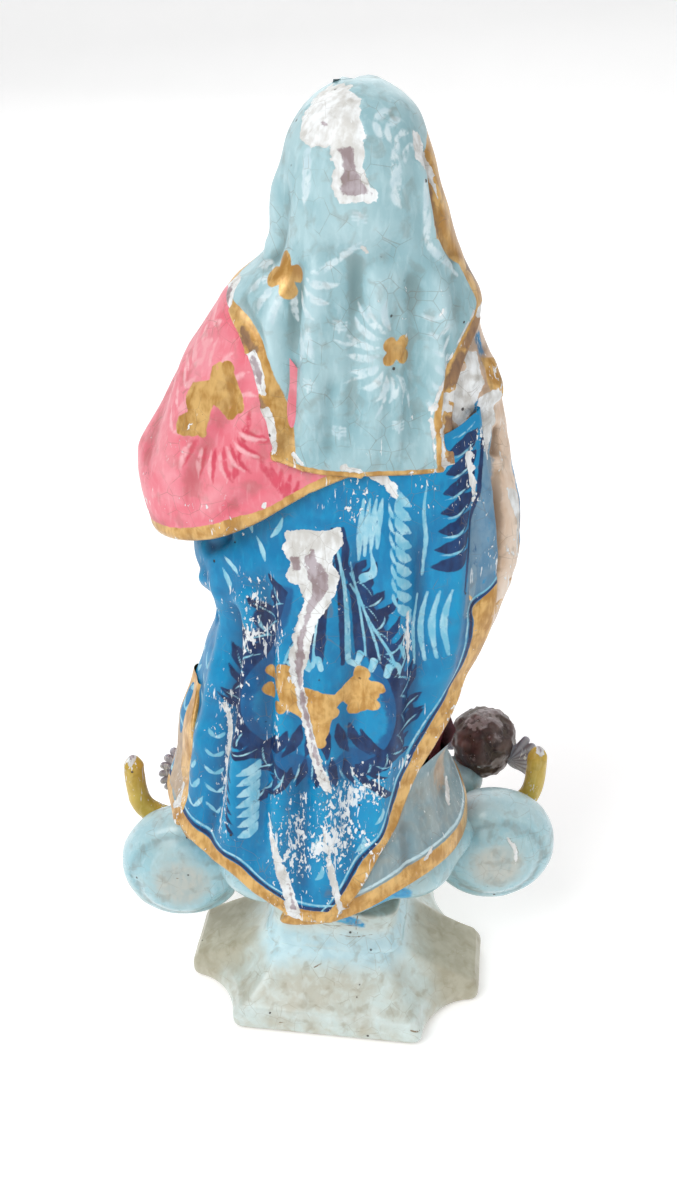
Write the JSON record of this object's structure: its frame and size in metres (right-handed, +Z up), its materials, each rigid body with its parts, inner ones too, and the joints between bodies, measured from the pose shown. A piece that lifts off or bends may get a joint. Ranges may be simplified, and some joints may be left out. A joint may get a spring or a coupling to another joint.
{
  "type": "carved madonna statue",
  "caption": "Painted carved-wood madonna with veil and mantle, on a cloud with scroll lobes, a crescent moon, cherub heads and a flared pedestal with scooped corners.",
  "frame": {"origin": "middle of the flat underside of the pedestal's plinth", "axes": "+Z up; +Y the statue's back; +X its left; the plinth is square to the axes and the cloud, moon and figure are turned 9 degrees on it, so the front looks between -Y and +X"},
  "size_m": [0.2058, 0.1367, 0.42],
  "materials": {
    "pedestal_paint": "off-white oil paint over gesso, worn and dirty in the hollows",
    "cloud_paint": "pale blue-green oil paint, glossy",
    "moon_paint": "mustard gold paint",
    "veil_paint": "pale grey-blue oil paint with gold edges and flowers",
    "mantle_paint": "bright blue oil paint with brushed leaves and gold flowers",
    "tunic_paint": "pink oil paint with a gold edge",
    "skin_paint": "pale flesh paint, satin",
    "hair_paint": "brown paint",
    "bare_wood": "bare softwood"
  },
  "bodies": {
    "root": {"central_peg": "bare_wood", "cherub_centre_dowel": "bare_wood", "cherub_centre_head": "hair_paint", "cherub_centre_wing_left": "cloud_paint", "cherub_centre_wing_right": "cloud_paint", "cherub_left_dowel": "bare_wood", "cherub_left_head": "hair_paint", "cherub_left_wing_left": "cloud_paint", "cherub_left_wing_right": "cloud_paint", "cherub_right_dowel": "bare_wood", "cherub_right_head": "hair_paint", "cherub_right_wing_left": "cloud_paint", "cherub_right_wing_right": "cloud_paint", "cloud_core": "cloud_paint", "cloud_front": "cloud_paint", "cloud_scroll_left": "cloud_paint", "cloud_scroll_right": "cloud_paint", "crescent_moon": "moon_paint", "figure_peg": "bare_wood", "head": "skin_paint", "left_forearm": "tunic_paint", "left_hand": "skin_paint", "left_sleeve": "tunic_paint", "mantle_back": "mantle_paint", "mantle_front_fold": "mantle_paint", "mantle_lower_fold": "veil_paint", "moon_dowel_left": "bare_wood", "moon_dowel_right": "bare_wood", "neck_dowel": "bare_wood", "pedestal_neck": "pedestal_paint", "plinth": "pedestal_paint", "right_forearm": "tunic_paint", "right_hand": "skin_paint", "right_sleeve": "mantle_paint", "scroll_dowel_left": "bare_wood", "scroll_dowel_right": "bare_wood", "shoulder_dowel_left": "bare_wood", "shoulder_dowel_right": "bare_wood", "skirt_block": "tunic_paint", "torso_block": "tunic_paint", "veil_cape": "veil_paint", "veil_hood": "veil_paint", "waist_dowel_left": "bare_wood", "waist_dowel_right": "bare_wood", "wrist_dowel_left": "bare_wood", "wrist_dowel_right": "bare_wood"}
  },
  "joints": []
}
